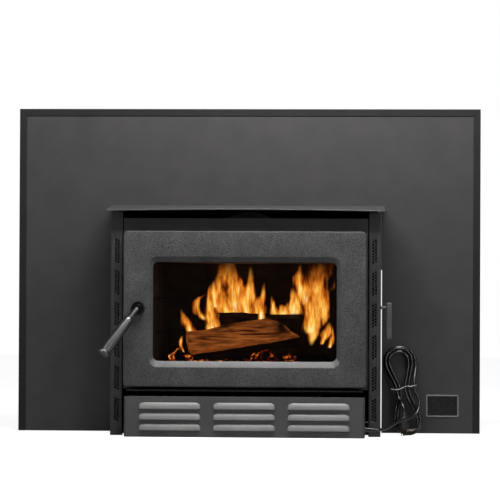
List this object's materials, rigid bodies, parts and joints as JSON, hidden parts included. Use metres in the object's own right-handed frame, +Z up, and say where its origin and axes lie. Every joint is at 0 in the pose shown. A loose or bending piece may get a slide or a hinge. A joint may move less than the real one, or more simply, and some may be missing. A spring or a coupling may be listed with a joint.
{
  "type": "fireplace insert",
  "caption": "Wood-burning fireplace insert: glazed cast door in a steel firebox, perforated side columns, louvred blower box, wide faceplate and a tied mains cord.",
  "frame": {"origin": "on the hearth under the base plate, on the centre line, in the plane of the faceplate's back", "axes": "+Z up, -Y out of the hearth towards the room (the door side), +X to the right seen from the room"},
  "size_m": [1.118, 0.7109, 0.7845],
  "materials": {
    "black_paint": "stove paint, fine satin",
    "cast_iron": "painted casting, sand texture",
    "panel_paint": "smooth satin paint",
    "trim_paint": "satin paint",
    "fire_brick": "refractory, matt",
    "bare_steel": "mill finish",
    "black_nickel": "black nickel plate",
    "badge_silver": "satin",
    "badge_black": "gloss",
    "glass": "clear ceramic",
    "rope": "knitted glass rope",
    "log": "split, charred",
    "cord_rubber": "satin",
    "pin_brass": "satin",
    "tie_white": "matt"
  },
  "bodies": {
    "root": {"base_plate": "black_paint", "outer_jacket": "black_paint", "firebox_shell": "cast_iron", "firebox_front": "black_paint", "ash_ledge": "trim_paint", "flue_collar": "cast_iron", "flue_deflector": "black_paint", "brick_floor": "fire_brick", "brick_back": "fire_brick", "brick_left": "fire_brick", "brick_right": "fire_brick", "air_tube_front": "bare_steel", "air_tube_middle": "bare_steel", "air_tube_back": "bare_steel", "baffle_board": "fire_brick", "top_shelf": "black_paint", "column_left": "black_paint", "column_right": "black_paint", "surround_panel": "panel_paint", "trim_left": "trim_paint", "trim_right": "trim_paint", "trim_top": "trim_paint", "badge_rim": "badge_silver", "badge_plate": "badge_black", "bracket_left": "bare_steel", "bracket_right": "bare_steel", "hinge_lug_bottom": "bare_steel", "hinge_lug_top": "bare_steel", "latch_catch": "bare_steel", "blower_cover": "black_paint", "blower_motor": "bare_steel", "blower_casing_left": "bare_steel", "blower_casing_right": "bare_steel", "log_base": "log", "log_front": "log", "log_back": "log", "strain_relief": "cord_rubber", "cord_hank": "cord_rubber", "cord_lead": "cord_rubber", "cord_tail": "cord_rubber", "plug_body": "cord_rubber", "plug_pins": "pin_brass", "cord_tie": "tie_white"},
    "door": {"door_frame": "cast_iron", "door_glass": "glass", "glass_retainer": "bare_steel", "door_seal": "rope", "hinge_pin_bottom": "bare_steel", "hinge_pin_top": "bare_steel"},
    "latch": {"latch_shaft": "bare_steel", "latch_cam": "bare_steel", "handle_neck": "black_nickel", "handle_grip": "black_nickel"},
    "damper": {"damper_rod": "bare_steel", "damper_lever": "black_paint"},
    "damper_slide": {"damper_slide": "bare_steel"},
    "blower_rotor": {"blower_shaft": "bare_steel", "blower_wheel_left": "bare_steel", "blower_wheel_right": "bare_steel"}
  },
  "joints": [
    {"name": "door_swing", "type": "hinge", "parent": "root", "child": "door", "pos_m": [0.275, -0.168, 0.3], "axis": [0, 0, 1], "range_deg": [0, 100]},
    {"name": "handle_turn", "type": "hinge", "parent": "door", "child": "latch", "pos_m": [-0.251, -0.19, 0.303], "axis": [0, 1, 0], "range_deg": [-30, 60]},
    {"name": "air_lever", "type": "hinge", "parent": "root", "child": "damper", "pos_m": [0.3, -0.075, 0.306], "axis": [-1, 0, 0], "range_deg": [0, 50]},
    {"name": "air_slide", "type": "slide", "parent": "root", "child": "damper_slide", "axis": [0, 1, 0], "range_m": [0, 0.0308]},
    {"name": "blower_spin", "type": "hinge", "parent": "root", "child": "blower_rotor", "pos_m": [0, -0.105, 0.053], "axis": [1, 0, 0], "continuous": true}
  ],
  "couplings": [
    {"joint": "air_slide", "follows": "air_lever", "m_per_rad": 0.0351}
  ]
}
